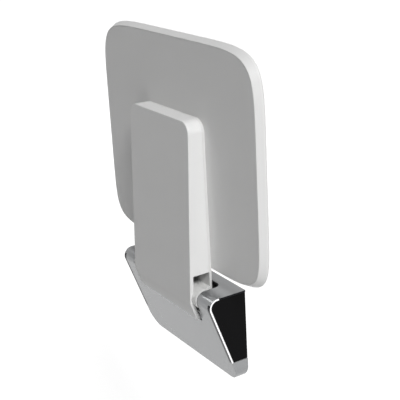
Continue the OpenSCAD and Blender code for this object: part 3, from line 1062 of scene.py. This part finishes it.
@dataclass
class Bracket:
    """The metal shell, its black caps and the parts behind it.

    Sizes are in mm. The last three tell faces of the shell's ends apart by their normals.
    """

    half_length: float = 125.0
    top: float = 67.5
    cap_height: float = 108.3
    edge_start: float = -45.0
    centre_depth: float = -30.0
    end_depth: float = 0.2
    rim_round: float = 0.5
    rim_steps: int = 4
    # How far from each end the painted shade line and the painted highlight reach
    line: float = 5.8
    soft: float = 0.4
    soft_steps: int = 3
    cap_round: float = 0.7
    cap_steps: int = 4
    block_round: float = 0.6
    plate_round: float = 0.35
    stop_round: float = 0.8
    shaft_round: float = 0.5
    inner_steps: int = 2
    faces_up: float = 0.45
    faces_end: float = 0.93
    lies_along: float = 0.3

    def skin(self, face: bpy.types.MeshPolygon) -> ShellSkin:
        """Picks a face's finish: satin, but near the ends a painted shade line round a rim with a
        painted highlight.

        Args:
            face: The face.

        Returns:
            Its finish.
        """
        out, rear, up = (v / MM for v in face.center)
        inside = abs(out) < self.half_length - self.line or up < self.top - self.cap_height
        if inside or face.normal.z > self.faces_up:
            return ShellSkin.SATIN
        # The end faces get the painted highlight, and the other faces near the ends get the painted
        # shade
        behind = rear > self.edge_start and up > self.top / 2
        if behind or abs(face.normal.x) < self.faces_end:
            return ShellSkin.LINE
        return ShellSkin.RIM

    def shell(self) -> bpy.types.Object:
        """Builds the shell, whose ends show a painted shade line round a rim with a painted
        highlight.
        """
        end = (self.half_length - self.end_depth) * MM
        centre = Vector((0.0, self.centre_depth * MM, 0.0))

        def at_end(middle: Vector, first: Vector, second: Vector) -> bool:
            """Takes the outer edges of both ends."""
            flat = first if abs(first.x) < abs(second.x) else second
            outer = flat.dot(middle - centre) > 0 and abs(flat.x) < self.lies_along
            return abs(middle.x) > end and outer

        piece = softened("bracket_housing", "bracket_shell", SHELL_SATIN, [
            Rounding(self.rim_round, self.rim_steps, at_end),
            Rounding(self.soft, self.soft_steps, everywhere),
        ])
        split_at(piece.data, (0.0, 0.0, self.top - self.cap_height), (0.0, 0.0, 1.0))
        split_at(piece.data, (0.0, self.edge_start, 0.0), (0.0, 1.0, 0.0))
        split_at(piece.data, (0.0, 0.0, self.top / 2), (0.0, 0.0, 1.0))
        for inner in (self.line - self.half_length, self.half_length - self.line):
            split_at(piece.data, (inner, 0.0, 0.0), (1.0, 0.0, 0.0))
        # The painted shade and painted highlight materials of the shell's ends
        for finish in (SHELL_PAINTED_SHADE, SHELL_PAINTED_HIGHLIGHT):
            piece.data.materials.append(finish.material())
        for face in piece.data.polygons:
            face.material_index = self.skin(face).value
        return shade(piece)

    def cap(self, side: str) -> bpy.types.Object:
        """Builds the gloss black end cap of one side, left or right."""
        rounding = Rounding(self.cap_round, self.cap_steps, everywhere)
        return shade(softened(side + "_end_cap", side + "_cap_gloss", CAP_BLACK, [rounding]))

    def eased(self, node: str, name: str, finish: Finish, radius: float) -> bpy.types.Object:
        """Builds one inner part with eased edges.

        Args:
            node: The CAD node.
            name: The piece's name.
            finish: Its finish.
            radius: The radius of its edges in mm.

        Returns:
            The piece.
        """
        rounding = Rounding(radius, self.inner_steps, everywhere)
        return shade(softened(node, name, finish, [rounding]))

    def build(self) -> None:
        """Builds the shell, its caps and the parts behind it."""
        hand_over(self.shell(), Body.BRACKET, "bracket_housing")
        for side in ("left", "right"):
            hand_over(self.cap(side), Body.BRACKET, side + "_end_cap")
            node = side + "_bearing_block"
            block = self.eased(node, side + "_block_casting", BLOCK_CAST, self.block_round)
            hand_over(block, Body.BRACKET, node)
            paint_node(side + "_bush", BUSH_ACETAL)
        plate = self.eased("wall_plate", "wall_plate_zinc", PLATE_ZINC, self.plate_round)
        hand_over(plate, Body.BRACKET, "wall_plate")
        stop = self.eased("stop_block", "stop_rubber_block", STOP_BLACK, self.stop_round)
        hand_over(stop, Body.BRACKET, "stop_block")
        shaft = self.eased("hinge_shaft", "hinge_shaft_ground", BRIGHT_STEEL, self.shaft_round)
        hand_over(shaft, Body.BRACKET, "hinge_shaft")
        for node in ("shaft_rings", "thrust_washers"):
            paint_node(node, BRIGHT_STEEL)


@dataclass(frozen=True)
class Screw:
    """One screw, in mm: a countersunk or domed head, a driver's hole and a grooved shank.

    A countersunk head's rim is given by its points' insets and depths.
    """

    # A circle without a size of its own, which the rings' growth widens
    ROUND = Outline(0.0, 0.0, 0.0, 2.0, 2.0, steps=48, sharp=30.0)

    radius: float
    length: float
    recess: Recess = Recess.HEX
    domed: bool = False
    head_share: float = 2.0
    pitch: float = 0.8
    crest: float = 0.28
    hole_share: float = 0.95
    hole_depth: float = 0.62
    hole_cone: float = 0.2
    hole_lip: float = 0.15
    hole_start: float = 0.12
    fillet: float = 0.1
    flat_share: float = 0.9
    rim: tuple[tuple[float, float], ...] = ((0.35, 0.0), (0.1, 0.05), (0.0, 0.2))
    dome_steps: int = 8
    dome_height: float = 1.1
    dome_share: float = 0.75
    dome_inset: float = 0.15
    neck: float = 1.2
    tip: float = 1.0
    tip_inset: float = 0.6

    @property
    def head(self) -> float:
        """The head's radius."""
        return self.radius * self.head_share

    @property
    def head_height(self) -> float:
        """The head's height."""
        return self.radius * (self.dome_height if self.domed else 1.0)

    def hole(self) -> list[Ring]:
        """Returns the driver's hole, from the middle of its floor to its upper edge."""
        width, deep = self.radius * self.hole_share, self.head_height * self.hole_depth
        return [
            Ring(width, deep + self.hole_cone, 0.0),
            Ring(width, deep, self.flat_share, self.recess),
            Ring(width, deep - self.fillet, 1.0, self.recess),
            Ring(width, self.hole_start, 1.0, self.recess),
        ]

    def crown(self) -> list[Ring]:
        """Returns the head, from the hole's edge to the shank."""
        lip = self.radius * self.hole_share + self.hole_lip
        rings = [Ring(lip, 0.0)]
        if not self.domed:
            rings += [Ring(self.head - inset, depth) for inset, depth in self.rim]
            return rings + [Ring(self.radius, self.radius)]
        for step in range(1, self.dome_steps + 1):
            turn = math.radians(90 * step / self.dome_steps)
            rings.append(Ring(
                lip + (self.head - lip) * math.sin(turn),
                self.head_height * self.dome_share * (1 - math.cos(turn)),
            ))
        return rings + [
            Ring(self.head - self.dome_inset, self.head_height),
            Ring(self.radius, self.head_height),
        ]

    def shank(self) -> list[Ring]:
        """Returns the shank with its thread's grooves, closed at the tip."""
        rings = []
        depth = self.head_height + self.neck
        while depth < self.length - self.tip:
            rings += [
                Ring(self.radius, depth), Ring(self.radius - self.crest, depth + self.pitch * 0.5),
            ]
            depth += self.pitch
        small = self.radius - self.tip_inset
        return rings + [Ring(small, self.length), Ring(small, self.length, 0.0)]

    def form(self) -> bpy.types.Object:
        """Lofts the screw, with its head at the origin and its tip along +Y."""
        rings = self.hole() + self.crown() + self.shank()
        return self.ROUND.loft("screw_form", rings, BRIGHT_STEEL)


@dataclass(frozen=True)
class ScrewSet:
    """Screws of one kind that stand at given places, in mm, and point one way.

    Each is turned round its axis by the spin, in radians, past the one before.
    """

    node: str
    body: Body
    screw: Screw
    axis: Spot
    places: tuple[Spot, ...]
    spin: float = 0.7

    def tree(self) -> bpy.types.NodeTree:
        """Draws the tree that sets a copy of the screw at each point.

        Returns:
            The node group.
        """
        tree = new_tree("set_screws_" + self.node, {
            "Screw": "NodeSocketObject", "Axis": "NodeSocketVector", "Spin": "NodeSocketFloat",
        })
        sketch = Sketch(tree)
        given = sketch.add("NodeGroupInput").outputs
        form = sketch.add("GeometryNodeObjectInfo", {"Object": given["Screw"]})
        count = sketch.add("GeometryNodeInputIndex").outputs[0]
        turned = sketch.math("MULTIPLY", count, given["Spin"])
        spin = sketch.add("FunctionNodeAxisAngleToRotation", {"Axis": (0, 1, 0), "Angle": turned})
        aim = sketch.add(
            "FunctionNodeAlignRotationToVector", {"Vector": given["Axis"]}, axis="Y"
        )
        facing = sketch.add(
            "FunctionNodeRotateRotation",
            {"Rotation": aim.outputs[0], "Rotate By": spin.outputs[0]}, rotation_space="LOCAL",
        )
        placed = sketch.add("GeometryNodeInstanceOnPoints", {
            "Points": given["Geometry"], "Instance": form.outputs["Geometry"],
            "Rotation": facing.outputs[0],
        })
        sketch.close(placed.outputs[0], BRIGHT_STEEL)
        return tree

    def build(self) -> None:
        """Builds the set as one piece."""
        form = self.screw.form()
        mesh = bpy.data.meshes.new(self.node)
        mesh.from_pydata([[v * MM for v in place] for place in self.places], [], [])
        piece = new_piece(self.node + "_steel", mesh)
        grow(piece, self.tree(), {"Screw": form, "Axis": self.axis, "Spin": self.spin})
        bpy.data.objects.remove(form)
        hand_over(piece, self.body, self.node)


def both_sides(x: float, y: float, *heights: float) -> tuple[Spot, ...]:
    """Returns places on both sides of the middle plane, at one or more heights."""
    return tuple((side * x, y, z) for side in (-1, 1) for z in heights)


INTO_ROOM, UP, DOWN = (0.0, -1.0, 0.0), (0.0, 0.0, 1.0), (0.0, 0.0, -1.0)

# The outer stop screws stand a third of the stop's 140 mm from the middle, and all three two
# thirds of the top flange's 17 mm from the wall
STOP_X, STOP_Y, STOP_TOP = 140 / 3, -17 * 2 / 3, 64.4

# Every head stands where the solids' heads do
SCREW_SETS = (
    ScrewSet(
        "bearing_screws", Body.BRACKET, Screw(3.0, 16.0), INTO_ROOM,
        both_sides(98.85, 0.0, 54.0, 14.5),
    ),
    ScrewSet(
        "stop_screws", Body.BRACKET, Screw(2.0, 8.0, Recess.LOBED), DOWN,
        both_sides(STOP_X, STOP_Y, STOP_TOP) + ((0.0, STOP_Y, STOP_TOP),),
    ),
    ScrewSet(
        "housing_screws", Body.BRACKET, Screw(2.0, 6.1, Recess.LOBED), UP,
        both_sides(55.0, -6.6, -76.5),
    ),
    ScrewSet(
        "arm_screws", Body.SEAT, Screw(2.5, 14.0), INTO_ROOM, both_sides(25.0, -28.0, 81.0),
    ),
    ScrewSet(
        "seat_screws", Body.SEAT, Screw(2.5, 24.25, domed=True, head_share=2.1), INTO_ROOM,
        both_sides(45.0, -21.15, 127.5, 205.5, 283.5),
    ),
)


def main() -> None:
    """Builds the studio and the object."""
    logging.basicConfig(level=logging.INFO, format="%(name)s: %(message)s")
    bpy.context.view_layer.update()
    Studio().build()
    Bracket().build()
    Arm().build()
    Seat(Outline()).build()
    for screws in SCREW_SETS:
        screws.build()


if __name__ == "__main__":
    main()
